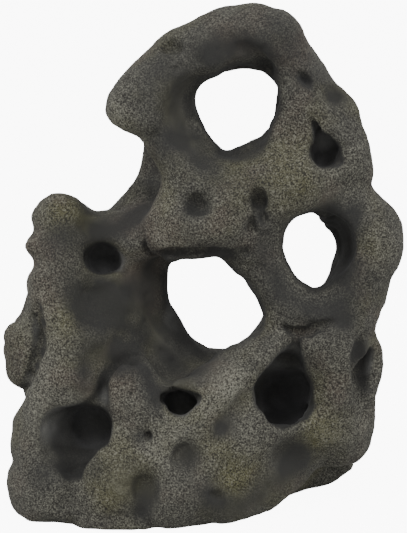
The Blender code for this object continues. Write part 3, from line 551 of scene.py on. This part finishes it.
class StoneField:
    """How far each point of a grid lies outside the stone, in millimetres, and negative inside it."""

    BAND = 8  # the field is exact this many steps either side of the skin
    PRESSED = 2.5  # a dent is worked out to this many times its reach
    RAYS = 64  # directions in which a place looks
    LIFT = 1.6  # how far above the skin it looks from
    LOOKS = (2, 4, 6.5, 9, 12, 15, 19, 23, 28, 34, 42, 52)  # how far out along a ray it looks for stone

    def __init__(self, mesh, step):
        """Reads the distance to a closed mesh. The grid's points stand half a step off height 0."""
        corners = np.empty(len(mesh.vertices) * 3, np.float32)
        mesh.vertices.foreach_get("co", corners)
        mesh.calc_loop_triangles()
        triangles = np.empty(len(mesh.loop_triangles) * 3, np.int32)
        mesh.loop_triangles.foreach_get("vertices", triangles)
        corners = corners.reshape(-1, 3) / (MM * step) - (0, 0, 0.5)
        near = openvdb.FloatGrid.createLevelSetFromPolygons(
            corners, triangles=triangles.reshape(-1, 3), halfWidth=self.BAND
        )
        first, last = np.array(near.evalActiveVoxelBoundingBox())
        self.step = step
        self.low = (first + (0, 0, 0.5)) * step
        self.values = np.empty(last - first + 1, np.float32)
        near.copyToArray(self.values, ijk=tuple(int(n) for n in first))
        self.values *= step

    def ease(self, rounds):
        """Averages the field with its neighbours, along each axis in turn."""
        for _ in range(rounds):
            for axis in range(3):
                average_along(self.values, axis)

    def around(self, stations, more):
        """The grid round some stations: its slices, and its coordinates, one array to an axis."""
        lows = np.array([min(s[k] - s[3] for s in stations) - more for k in range(3)])
        highs = np.array([max(s[k] + s[3] for s in stations) + more for k in range(3)])
        start = np.maximum(np.floor((lows - self.low) / self.step).astype(int), 0)
        stop = np.ceil((highs - self.low) / self.step).astype(int) + 1
        stop = np.minimum(stop, self.values.shape)
        lines = [self.low[k] + self.step * np.arange(start[k], stop[k]) for k in range(3)]
        return tuple(map(slice, start, stop)), np.meshgrid(*lines, indexing="ij", sparse=True)

    @staticmethod
    def from_path(place, stations):
        """Distance to a round body along straight runs between stations, each with its own radius.

        For each run, the nearest point of its centre line is found by projection, and the radius there is
        taken off the distance to it. The body is the nearest of its runs. A lone station is a ball.
        """
        nearest = np.inf
        for start, end in zip(stations, stations[1:] or stations):
            run = [end[k] - start[k] for k in range(3)]
            length = sum(n * n for n in run) or 1.0
            along = sum((place[k] - start[k]) * run[k] for k in range(3)) / length
            along = np.clip(along, 0, 1)
            away = sum((place[k] - start[k] - along * run[k]) ** 2 for k in range(3))
            radius = start[3] + along * (end[3] - start[3])
            nearest = np.minimum(nearest, np.sqrt(away) - radius)
        return nearest

    def carve(self, stations, rim, side=1):
        """Takes a round body along a path out of the stone, and rounds the rim over this width."""
        where, place = self.around(stations, rim + 2 * self.step)
        body = self.from_path(place, stations)
        self.values[where] = side * smooth_max(side * self.values[where], -body, rim)

    def build(self, stations, web):
        """Adds a round body along a path, as if it were carved out of the space round the stone."""
        self.carve(stations, web, side=-1)

    def press(self, points, reach, depth):
        """Sinks the skin along a path, by the depth times e to the minus (distance over reach) squared."""
        stations = [(*p, 0) for p in points]
        where, place = self.around(stations, self.PRESSED * reach)
        self.values[where] += depth * np.exp(-((self.from_path(place, stations) / reach) ** 2))

    def near_skin(self, within):
        """The grid points this near the skin, as indices and as places."""
        found = np.nonzero(np.abs(self.values) < within)
        return found, np.stack(found, axis=1) * self.step + self.low

    def cut_flat(self, height):
        """Takes away everything below a height."""
        heights = self.low[2] + self.step * np.arange(self.values.shape[2])
        self.values = np.maximum(self.values, (height - heights).astype(np.float32))

    def skin(self):
        """The vertices in millimetres, and the four-sided faces, where the field is zero."""
        outside = self.BAND * self.step
        grid = openvdb.FloatGrid(background=outside)
        padded = np.pad(self.values, 1, constant_values=outside)
        grid.copyFromArray(padded.astype(np.float32))
        corners, faces = grid.convertToQuads(isovalue=0.0)
        return (corners - 1) * self.step + self.low, faces

    def openness(self, places, normals):
        """The share of its surroundings that each place can see, weighted towards its normal.

        Rays go out from just above each place in directions spread evenly over a sphere, and one that
        meets stone within the last of the distances is blocked. All places are tried at once.
        """
        order = np.arange(self.RAYS)
        turn = order * math.pi * (3 - math.sqrt(5))
        rise = 1 - (2 * order + 1) / self.RAYS
        flat = np.sqrt(1 - rise * rise)
        rays = np.stack([flat * np.cos(turn), flat * np.sin(turn), rise], axis=1)
        solid = self.values < 0
        most = np.array(solid.shape) - 1
        starts = (places + self.LIFT * normals - self.low) / self.step
        seen = np.zeros(len(places))
        total = np.zeros(len(places))
        for ray in rays:
            weight = np.maximum(normals @ ray, 0)
            facing = np.nonzero(weight > 0)[0]
            blocked = np.zeros(len(facing), bool)
            for far in self.LOOKS:
                at = np.rint(starts[facing] + ray * far / self.step).astype(np.int32)
                inside = ((at >= 0) & (at <= most)).all(axis=1)
                at = np.clip(at, 0, most)
                blocked |= inside & solid[at[:, 0], at[:, 1], at[:, 2]]
            total[facing] += weight[facing]
            seen[facing] += weight[facing] * ~blocked
        return seen / total

    def fullness(self, places, reach):
        """The share of stone in a soft ball round each place: over a half in a hollow, less on a crest."""
        solid = (self.values < 0).astype(np.float32)
        rounds = max(1, round((reach / self.step) ** 2 / 2))
        for axis in range(3):
            for _ in range(rounds):
                average_along(solid, axis)
        at = np.rint((places - self.low) / self.step).astype(np.int32)
        at = np.clip(at, 0, np.array(solid.shape) - 1)
        return solid[at[:, 0], at[:, 1], at[:, 2]]


def mesh_from(name, corners, faces):
    """A mesh from an array of corners in metres and an array of faces with the same number of sides."""
    mesh = bpy.data.meshes.new(name)
    sides = faces.shape[1]
    mesh.vertices.add(len(corners))
    mesh.vertices.foreach_set("co", corners.astype(np.float32).ravel())
    mesh.loops.add(faces.size)
    mesh.loops.foreach_set("vertex_index", faces.astype(np.int32).ravel())
    mesh.polygons.add(len(faces))
    mesh.polygons.foreach_set("loop_start", np.arange(0, faces.size, sides, dtype=np.int32))
    mesh.update(calc_edges=True)
    mesh.validate()
    mesh.shade_smooth()
    return mesh


def add_object(name, data):
    made = bpy.data.objects.new(name, data)
    bpy.context.scene.collection.objects.link(made)
    return made


def normals_of(mesh):
    normals = np.empty(len(mesh.vertices) * 3, np.float32)
    mesh.vertices.foreach_get("normal", normals)
    return normals.reshape(-1, 3)


def spread(mesh, values, rounds):
    """Evens out a value held at each vertex: each round takes the mean of it and its neighbours' mean."""
    ends = np.empty(len(mesh.edges) * 2, np.int32)
    mesh.edges.foreach_get("vertices", ends)
    one, other = ends.reshape(-1, 2).T
    size = len(values)
    count = np.bincount(ends, minlength=size)
    for _ in range(rounds):
        near = np.bincount(one, values[other], size) + np.bincount(other, values[one], size)
        values = (values + near / np.maximum(count, 1)) / 2
    return values


def merged_copy(node):
    """The solid's mesh with its loose triangles joined."""
    joined = add_object("joined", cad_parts[node].data.copy())
    weld = joined.modifiers.new("join", "WELD")
    weld.merge_threshold = 1e-6
    graph = bpy.context.evaluated_depsgraph_get()
    merged = bpy.data.meshes.new_from_object(joined.evaluated_get(graph))
    bpy.data.objects.remove(joined)
    return merged


def patches_at(places, wander, table):
    """How strong the patches of a table are at each place, from -1 to 1.

    It is the sum of each patch's strength times e to the minus (distance over reach) squared. That square
    grows or shrinks by the share in wander, so that the patches' edges are broken up.
    """
    total = np.zeros(len(places))
    for patches in table.values():
        for *centre, reach, strength in patches:
            away = ((places - centre) ** 2).sum(axis=1) / reach**2
            total += strength * np.exp(-away * (1 + wander))
    return np.clip(total, -1, 1)


def build_skin(settings):
    """The rock's skin as a piece of its own, with what its material reads held at each vertex."""
    stone = StoneField(merged_copy(NODE), settings.grid / MM)
    stone.ease(settings.easing)
    for rim, stations in CAVES.values():
        stone.carve(stations, rim)
    for web, stations in LUMPS.values():
        stone.build(stations, web)
    for centre, reach, depth in DENTS.values():
        stone.press([centre], reach, depth)
    for reach, depth, points in GROOVES.values():
        stone.press(points, reach, depth)

    near, places = stone.near_skin(SKIN_STEPS * stone.step)
    waves = layered_noise(places, settings.wave_size / MM, WAVE_SEED)
    stone.values[near] += settings.wave_height / MM * waves / 2
    pits = scattered_pits(places, settings.pit_size / MM, settings.pit_share, PIT_SEED)
    stone.values[near] += settings.pit_depth / MM * pits
    stone.cut_flat(0.0)

    corners, faces = stone.skin()
    mesh = mesh_from("stone_skin", corners * MM, faces)
    # The material darkens sheltered and hollow places by these, partly as dark dirt and partly as painted
    # shade.
    sheltered = 1 - stone.openness(corners, normals_of(mesh))
    hollow = stone.fullness(corners, HOLLOW_REACH)
    wander = EDGE_WANDER * layered_noise(corners, EDGE_SIZE, EDGE_SEED)
    held = {
        "shelter": spread(mesh, sheltered, SHELTER_ROUNDS),
        "hollow": spread(mesh, hollow, HOLLOW_ROUNDS),
        "stain_and_painted_light": patches_at(corners, wander, STAINS_AND_PAINTED_LIGHT),
        "tint_and_shade": patches_at(corners, wander, TINTS_AND_SHADE),
        "worn": patches_at(corners, wander, WORN),
    }
    for name, values in held.items():
        attribute = mesh.attributes.new(name, "FLOAT", "POINT")
        attribute.data.foreach_set("value", values.astype(np.float32))
    return add_object("stone_skin", mesh)


def length_setting(name, description, default, **limits):
    """A distance that the user may change, in metres."""
    return FloatProperty(
        name=name, description=description, default=default, precision=5,
        subtype="DISTANCE", unit="LENGTH", **limits
    )


def amount_setting(name, description, default, **limits):
    """A plain number that the user may change."""
    return FloatProperty(name=name, description=description, default=default, min=0.0, **limits)


def colour_setting(name, description, default):
    """A colour that the user may change."""
    return FloatVectorProperty(
        name=name, description=description, default=default, size=3, min=0.0, max=1.0, subtype="COLOR"
    )


class SkinSettings(PropertyGroup):
    grid: length_setting(
        "Grid", "Distance between the grid points that the skin is worked out on",
        0.0014, min=0.0008, max=0.004,
    )
    easing: IntProperty(
        name="Easing", description="Rounds of averaging that turn the solid's facets into curves",
        default=5, min=0, max=10,
    )
    wave_size: length_setting("Wave size", "Distance across the low waves of the skin", 0.013)
    wave_height: length_setting("Wave height", "Height of the low waves of the skin", 0.0017)
    pit_size: length_setting(
        "Pit spacing", "Distance between the scattered pits, which are up to this wide", 0.006
    )
    pit_depth: length_setting("Pit depth", "Depth of the scattered pits", 0.0010)
    pit_share: amount_setting(
        "Pit share", "Share of the places for a pit that have one", 0.35, max=1.0, subtype="FACTOR"
    )


class StoneSettings(PropertyGroup):
    grey: colour_setting("Grey", "The stone's own olive grey", (0.062, 0.060, 0.050))
    olive: colour_setting("Olive", "Yellow-green patches", (0.084, 0.080, 0.036))
    brown: colour_setting("Brown", "Pinkish-brown patches", (0.074, 0.061, 0.048))
    grain: colour_setting(
        "Light grains", "The pale grains that stand out of the skin", (0.19, 0.186, 0.150)
    )
    pore: colour_setting("Pores", "The dark specks between the grains", (0.014, 0.012, 0.010))
    # Painted shade, partly dark dirt: the colour that sheltered places, creases, tunnels and undercuts are
    # darkened towards.
    recess: colour_setting(
        "Recesses", "The lining of hollows and tunnels, and the stains", (0.017, 0.0167, 0.016)
    )
    # Painted shade deep in the caves, kept paler so that they are dark grey and not black.
    cave: colour_setting("Cave walls", "The paler lining deep in the caves", (0.072, 0.072, 0.075))
    # Painted light: a pale colour that lightens darkened places under negative patches, such as the lobe,
    # the horn's underside and some cave floors.
    painted_light: colour_setting("Painted Light", "The pale dust that lies in some hollows", (0.17, 0.17, 0.165))
    # Painted shade: black put on the darkest cave floors, tunnel walls, the eye and one slit.
    painted_black_shade: colour_setting(
        "Painted Black Shade", "The black of the darkest cave floors and one slit", (0.003, 0.003, 0.0035)
    )
    grain_size: length_setting("Grain size", "Distance from grain to grain", 0.00078, min=0.0002)
    relief: length_setting("Grain relief", "How far the grains stand up", 0.0006)


class StageSettings(PropertyGroup):
    floor_size: length_setting("Floor size", "Distance across the round floor", 8.0)
    floor_colour: colour_setting("Floor colour", "Colour of the floor", (0.60, 0.60, 0.59))
    surround_colour: colour_setting(
        "Surround colour", "Colour of the even light from all round", (0.90, 0.90, 0.89)
    )
    floor_glow: amount_setting(
        "Glow", "How much whiter the floor and the background look, without lighting the rock", 9.0
    )
    elevation: FloatProperty(
        name="Elevation", description="How far the camera looks down",
        default=math.radians(14), subtype="ANGLE", unit="ROTATION",
    )
    distance: length_setting("Distance", "From the camera to the point that it looks at", 1.3)
    aim_height: length_setting("Aim height", "Height of the point that the camera looks at", 0.1182)
    frame_height: length_setting(
        "Frame height", "Height of the picture at the point that the camera looks at", 0.25836
    )
    key_power: amount_setting(
        "Key power", "Power of the large soft light above and in front, in watts", 20.0
    )
    fill_power: amount_setting(
        "Fill power", "Power of each of the two soft lights at the sides, in watts", 6.0
    )
    surround: amount_setting("Surround", "Strength of the even light from all round", 0.7)


class Wiring:
    """Adds nodes to a tree. A value given for an input is a number, a colour or another node's output."""

    def __init__(self, tree):
        self.tree = tree

    def add(self, kind, inputs=None, **settings):
        node = self.tree.nodes.new("ShaderNode" + kind)
        for name, value in settings.items():
            setattr(node, name, value)
        for name, value in (inputs or {}).items():
            self.set(node, name, value)
        return node

    def set(self, node, name, value):
        if isinstance(value, bpy.types.NodeSocket):
            self.tree.links.new(value, node.inputs[name])
        else:
            node.inputs[name].default_value = value

    def attribute(self, name):
        return self.add("Attribute", attribute_name=name).outputs["Fac"]

    def math(self, operation, first, second):
        return self.add("Math", {0: first, 1: second}, operation=operation).outputs[0]

    def plus(self, first, second):
        return self.math("ADD", first, second)

    def times(self, first, second):
        return self.math("MULTIPLY", first, second)

    def larger(self, first, second):
        return self.math("MAXIMUM", first, second)

    def rest(self, share):
        """One less the share."""
        return self.math("SUBTRACT", 1.0, share)

    def scaled(self, vector, size):
        """The vector in units of this size."""
        over = self.math("DIVIDE", 1.0, size)
        return self.add("VectorMath", {0: vector, "Scale": over}, operation="SCALE").outputs[0]

    def noise(self, vector, detail):
        inputs = {"Vector": vector, "Scale": 1.0, "Detail": detail, "Roughness": 0.5}
        return self.add("TexNoise", inputs).outputs["Fac"]

    def between(self, value, low, high):
        """0 below the low value, 1 above the high one, and a smooth rise between them."""
        inputs = {"Value": value, "From Min": low, "From Max": high}
        return self.add("MapRange", inputs, interpolation_type="SMOOTHSTEP").outputs["Result"]

    def mix(self, share, first, second):
        """One colour turning into the other as the share goes from 0 to 1."""
        fac, a, b = 0, 6, 7  # the places of these inputs on a colour Mix node
        return self.add("Mix", {fac: share, a: first, b: second}, data_type="RGBA").outputs[2]


def new_group(name, inputs, outputs):
    """An empty node group with these sockets, its wiring, and the nodes at its two ends."""
    group = bpy.data.node_groups.new(name, "ShaderNodeTree")
    for label, kind, default in inputs:
        socket = group.interface.new_socket(label, in_out="INPUT", socket_type="NodeSocket" + kind)
        if default is not None:
            socket.default_value = default
    for label in outputs:
        group.interface.new_socket(label, in_out="OUTPUT", socket_type="NodeSocketFloat")
    start = group.nodes.new("NodeGroupInput")
    end = group.nodes.new("NodeGroupOutput")
    return group, Wiring(group), start.outputs, end


# What the node groups work with. Sizes are in grains, and a range says from where to where a noise, a
# distance or an attribute takes effect.
CLUMP_SIZE, CLUMP_SHARE = 2.7, 0.18
CELL_SIZE = 2.6
PINHOLE_RANGE, PINHOLE_DEPTH = (0.10, 0.30), 0.3
PORE_RANGE = (0.38, 0.49)
LIGHT_RANGE, LIGHT_WHERE_WORN = (0.52, 0.66), 0.08
OLIVE_RANGE = (0.45, 0.68)
BROWN_RANGE, BROWN_SHIFT = (0.48, 0.70), (7.3, 2.1, 4.9)
# These ranges set the painted shade, partly dark dirt, in sheltered places and creases, and where it is
# paler deep in caves.
SHELTERED_DIRT_AND_SHADE_RANGE = (0.10, 0.55)
CREASED_RANGE, CREASED_SHARE = (0.56, 0.78), 0.6
DEEP_RANGE = (0.60, 0.95)
CREST_RANGE, CREST_SHARE = (0.30, 0.46), 0.35

# How much of each layer the stone shows.
PINHOLE_SHARE = 0.9
OLIVE_SHARE = 0.45
LIGHT_SHARE = 0.64
# Light grain colour on crests, where the sand is thick, and where light is painted on.
CRUST_AND_PAINTED_LIGHT_SHARE = 0.45
PORE_SHARE = 0.9
# How far the dirt and painted shade darkens, and how much it smooths the grain.
DIRT_AND_SHADE_SHARE = 0.92
DIRT_AND_SHADE_FLATNESS = 0.75
PATCH_SIZE = 0.030  # in metres
ROUGHNESS = 0.93


def grain_group():
    """Sand stuck on stone: fine crumbs in clumps, and pinholes between them.

    Height is the noise of the crumbs with a broader noise mixed in. Where it is high there are light
    grains, where it is low there are dark pores, and pinholes are the middles of scattered cells. Where
    the stone is worn all three fade to what they come to on average.
    """
    inputs = [
        ("Vector", "Vector", None),
        ("Grain Size", "Float", 0.001),
        ("Pinholes", "Float", 0.5),
        ("Worn", "Float", 0.0),
    ]
    group, wire, given, end = new_group("Grain and pores", inputs, ["Height", "Light", "Pores"])
    place, size, worn = given["Vector"], given["Grain Size"], given["Worn"]
    crumbs = wire.noise(wire.scaled(place, size), 1.0)
    clumps = wire.noise(wire.scaled(place, wire.times(size, CLUMP_SIZE)), 1.0)
    grit = wire.plus(wire.times(crumbs, 1 - CLUMP_SHARE), wire.times(clumps, CLUMP_SHARE))
    cell_place = wire.scaled(place, wire.times(size, CELL_SIZE))
    cells = wire.add("TexVoronoi", {"Vector": cell_place, "Scale": 1.0})
    middle = wire.rest(wire.between(cells.outputs["Distance"], *PINHOLE_RANGE))
    pinholes = wire.times(middle, given["Pinholes"])
    low = wire.rest(wire.between(grit, *PORE_RANGE))
    height = wire.math("SUBTRACT", grit, wire.times(pinholes, PINHOLE_DEPTH))
    kept = wire.rest(worn)
    light = wire.times(wire.between(grit, *LIGHT_RANGE), kept)
    wire.set(end, "Height", wire.times(height, kept))
    wire.set(end, "Light", wire.plus(light, wire.times(worn, LIGHT_WHERE_WORN)))
    wire.set(end, "Pores", wire.times(wire.larger(low, pinholes), kept))
    return group


def patches_group():
    """Broad patches of two colours, from two unrelated noises."""
    inputs = [("Vector", "Vector", None), ("Patch Size", "Float", 0.03)]
    group, wire, given, end = new_group("Patches", inputs, ["Olive", "Brown"])
    place = wire.scaled(given["Vector"], given["Patch Size"])
    moved = wire.add("VectorMath", {0: place, 1: BROWN_SHIFT}, operation="ADD").outputs[0]
    wire.set(end, "Olive", wire.between(wire.noise(place, 3.0), *OLIVE_RANGE))
    wire.set(end, "Brown", wire.between(wire.noise(moved, 3.0), *BROWN_RANGE))
    return group


def recess_group():
    """How much a place is darkened, partly as dark dirt and partly as painted shade, and how smooth it is,
    from how sheltered and how hollow it is and from the patches of staining and painted light.

    Recess is the darkened share. Deep is the share that is deep in a cave, where the painted shade is
    paler,
    Crest the share that stands out, where the sand is thick, raised further where light is painted on, and
    Pale the share with painted light from a negative patch.
    """
    inputs = [("Shelter", "Float", 0.0), ("Hollow", "Float", 0.5), ("Stain_And_Painted_Light", "Float", 0.0)]
    group, wire, given, end = new_group("Recesses", inputs, ["Recess", "Deep", "Crest", "Pale"])
    shelter, hollow, stain_and_painted_light = given["Shelter"], given["Hollow"], given["Stain_And_Painted_Light"]
    # Painted shade, partly dark dirt, in sheltered places and in creases.
    sheltered_dirt_and_shade = wire.between(shelter, *SHELTERED_DIRT_AND_SHADE_RANGE)
    creased = wire.times(wire.between(hollow, *CREASED_RANGE), CREASED_SHARE)
    # Positive patches are staining with painted shade.
    stain_and_painted_shade = wire.larger(stain_and_painted_light, 0.0)
    wire.set(end, "Recess", wire.larger(wire.larger(sheltered_dirt_and_shade, creased), stain_and_painted_shade))
    # Deep in caves the painted shade is paler.
    wire.set(end, "Deep", wire.times(wire.between(shelter, *DEEP_RANGE), wire.rest(stain_and_painted_shade)))
    raised = wire.rest(wire.between(hollow, *CREST_RANGE))
    # Negative patches are painted light: a pale colour over the dark, and light grains.
    pale = wire.larger(wire.times(stain_and_painted_light, -1.0), 0.0)
    wire.set(end, "Crest", wire.larger(wire.times(raised, CREST_SHARE), pale))
    wire.set(end, "Pale", pale)
    return group


def stone_material(settings):
    """Grey stone with patches, grains and pores; dark dirt and painted shade over them, lightened by
    painted light in places; and painted black shade on top.
    """
    material = bpy.data.materials.new("stone")
    material.use_nodes = True
    wire = Wiring(material.node_tree)
    shader = material.node_tree.nodes["Principled BSDF"]
    place = wire.add("TexCoord").outputs["Object"]
    # Olive tints, and painted black shade where they are negative.
    tint_and_shade = wire.attribute("tint_and_shade")

    inputs = {
        "Vector": place,
        "Grain Size": settings.grain_size,
        "Pinholes": PINHOLE_SHARE,
        "Worn": wire.attribute("worn"),
    }
    grain = wire.add("Group", inputs, node_tree=grain_group()).outputs
    inputs = {"Vector": place, "Patch Size": PATCH_SIZE}
    patches = wire.add("Group", inputs, node_tree=patches_group()).outputs
    inputs = {name: wire.attribute(name.lower()) for name in ("Shelter", "Hollow", "Stain_And_Painted_Light")}
    recess = wire.add("Group", inputs, node_tree=recess_group()).outputs

    def painted(colour, share, name):
        """The colour with a share of one of the named colours over it."""
        return wire.mix(share, colour, (*getattr(settings, name), 1))

    olive = wire.plus(wire.times(patches["Olive"], OLIVE_SHARE), tint_and_shade)
    colour = painted((*settings.grey, 1), olive, "olive")
    colour = painted(colour, patches["Brown"], "brown")
    lit = wire.times(grain["Light"], LIGHT_SHARE)
    # Light grains, and more of them on crests and where light is painted on.
    crust_and_painted_light = wire.times(recess["Crest"], CRUST_AND_PAINTED_LIGHT_SHARE)
    colour = painted(colour, wire.plus(lit, crust_and_painted_light), "grain")
    colour = painted(colour, wire.times(grain["Pores"], PORE_SHARE), "pore")
    # Dirt and painted shade in sheltered places, creases and under the patches, paler deep in caves and
    # lightened where light is painted on.
    dirt_and_shade = painted((*settings.recess, 1), recess["Deep"], "cave")
    dirt_and_shade = painted(dirt_and_shade, recess["Pale"], "painted_light")
    colour = wire.mix(wire.times(recess["Recess"], DIRT_AND_SHADE_SHARE), colour, dirt_and_shade)
    # Painted black shade where the olive tints are negative.
    colour = painted(colour, wire.larger(wire.times(tint_and_shade, -1.0), 0.0), "painted_black_shade")
    wire.set(shader, "Base Color", colour)
    wire.set(shader, "Roughness", ROUGHNESS)

    # The darkened places have flatter grain.
    rough = wire.rest(wire.times(recess["Recess"], DIRT_AND_SHADE_FLATNESS))
    height = wire.times(grain["Height"], rough)
    bump = wire.add("Bump", {"Height": height, "Strength": 1.0, "Distance": settings.relief})
    wire.set(shader, "Normal", bump.outputs["Normal"])
    return material


def floor_material(settings):
    material = bpy.data.materials.new("floor")
    material.use_nodes = True
    wire = Wiring(material.node_tree)
    shader = material.node_tree.nodes["Principled BSDF"]
    wire.set(shader, "Base Color", (*settings.floor_colour, 1))
    wire.set(shader, "Roughness", 0.8)
    wire.set(shader, "Emission Color", (1, 1, 1, 1))
    seen = wire.add("LightPath").outputs["Is Camera Ray"]
    wire.set(shader, "Emission Strength", wire.times(seen, settings.floor_glow))
    return material


def build_floor(settings):
    """A round plate: a flat disc inside rings of points, with radii that grow as squares do."""
    spokes, rings = 96, 8
    turn = np.linspace(0, 2 * math.pi, spokes, endpoint=False)
    radius = np.linspace(0, 1, rings + 1)[1:, None] ** 2 * settings.floor_size / 2
    across = radius * np.cos(turn)
    deep = radius * np.sin(turn)
    corners = np.stack([across, deep, np.zeros_like(across)], axis=-1).reshape(-1, 3)
    ring, spoke = np.meshgrid(np.arange(rings - 1) * spokes, np.arange(spokes), indexing="ij")
    after = (spoke + 1) % spokes
    sides = [ring + spoke, ring + spokes + spoke, ring + spokes + after, ring + after]
    faces = np.stack(sides, axis=-1).reshape(-1, 4)
    mesh = bpy.data.meshes.new("floor")
    mesh.from_pydata(corners.tolist(), [], faces.tolist() + [list(range(spokes))])
    floor = add_object("floor", mesh)
    mesh.materials.append(floor_material(settings))
    return floor


# Lights: where they stand, in metres, and how wide they are.
KEY_PLACE, KEY_SIZE = (-0.1, -0.95, 1.5), 1.1
FILL_PLACE, FILL_SIZE = (1.3, -0.35, 0.7), 0.9


def add_light(name, place, aim, size, power):
    light = bpy.data.lights.new(name, "AREA")
    light.shape = "DISK"
    light.size = size
    light.energy = power
    made = add_object(name, light)
    made.location = place
    made.rotation_euler = (Vector(aim) - Vector(place)).to_track_quat("-Z", "Y").to_euler()


def add_world(settings):
    """An even light from all round, whose colour looks brighter to the camera than its light is."""
    world = bpy.data.worlds.new("surround")
    world.use_nodes = True
    background = world.node_tree.nodes["Background"]
    wire = Wiring(world.node_tree)
    wire.set(background, "Color", (*settings.surround_colour, 1))
    seen = wire.add("LightPath").outputs["Is Camera Ray"]
    glow = wire.times(seen, settings.floor_glow)
    wire.set(background, "Strength", wire.plus(glow, settings.surround))
    bpy.context.scene.world = world


def add_camera(settings):
    camera = bpy.data.cameras.new("camera")
    made = add_object("camera", camera)
    back = Vector((0, -math.cos(settings.elevation), math.sin(settings.elevation)))
    made.location = Vector((0, 0, settings.aim_height)) + back * settings.distance
    made.rotation_euler = (-back).to_track_quat("-Z", "Y").to_euler()
    camera.lens = camera.sensor_width * settings.distance / settings.frame_height
    bpy.context.scene.camera = made


class HOLEYROCK_OT_skin(Operator):
    """Builds the rock's worn skin round its solid, and gives it the stone finish"""

    bl_idname = "holeyrock.skin"
    bl_label = "Build Skin"

    def execute(self, context):
        piece = build_skin(context.scene.rock_skin)
        piece.data.materials.append(stone_material(context.scene.rock_stone))
        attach(piece, "root")
        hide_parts(NODE)
        return {"FINISHED"}


class HOLEYROCK_OT_stage(Operator):
    """Sets out the floor, the lights and the camera"""

    bl_idname = "holeyrock.stage"
    bl_label = "Set Out Stage"

    def execute(self, context):
        settings = context.scene.rock_stage
        build_floor(settings)
        middle = (0, 0, settings.aim_height)
        add_light("key", KEY_PLACE, middle, KEY_SIZE, settings.key_power)
        across, deep, height = FILL_PLACE
        for side in (-across, across):
            add_light("fill", (side, deep, height), middle, FILL_SIZE, settings.fill_power)
        add_world(settings)
        add_camera(settings)
        return {"FINISHED"}


class HOLEYROCK_PT_panel(Panel):
    bl_label = "Holey Rock"
    bl_space_type = "VIEW_3D"
    bl_region_type = "UI"
    bl_category = "Holey Rock"

    def draw(self, context):
        for title, settings, operator in PANEL_ROWS:
            box = self.layout.box()
            box.label(text=title)
            group = getattr(context.scene, settings)
            for name in group.__annotations__:
                box.prop(group, name)
            box.operator(operator)


PANEL_ROWS = (
    ("Skin", "rock_skin", HOLEYROCK_OT_skin.bl_idname),
    ("Stone", "rock_stone", HOLEYROCK_OT_skin.bl_idname),
    ("Stage", "rock_stage", HOLEYROCK_OT_stage.bl_idname),
)

SETTINGS = {"rock_skin": SkinSettings, "rock_stone": StoneSettings, "rock_stage": StageSettings}

CLASSES = (*SETTINGS.values(), HOLEYROCK_OT_skin, HOLEYROCK_OT_stage, HOLEYROCK_PT_panel)


def register():
    for cls in CLASSES:
        bpy.utils.register_class(cls)
    for name, cls in SETTINGS.items():
        setattr(bpy.types.Scene, name, PointerProperty(type=cls))


def unregister():
    for name in SETTINGS:
        delattr(bpy.types.Scene, name)
    for cls in reversed(CLASSES):
        bpy.utils.unregister_class(cls)


def main():
    register()
    bpy.ops.holeyrock.skin()
    bpy.ops.holeyrock.stage()


if __name__ == "__main__":
    main()
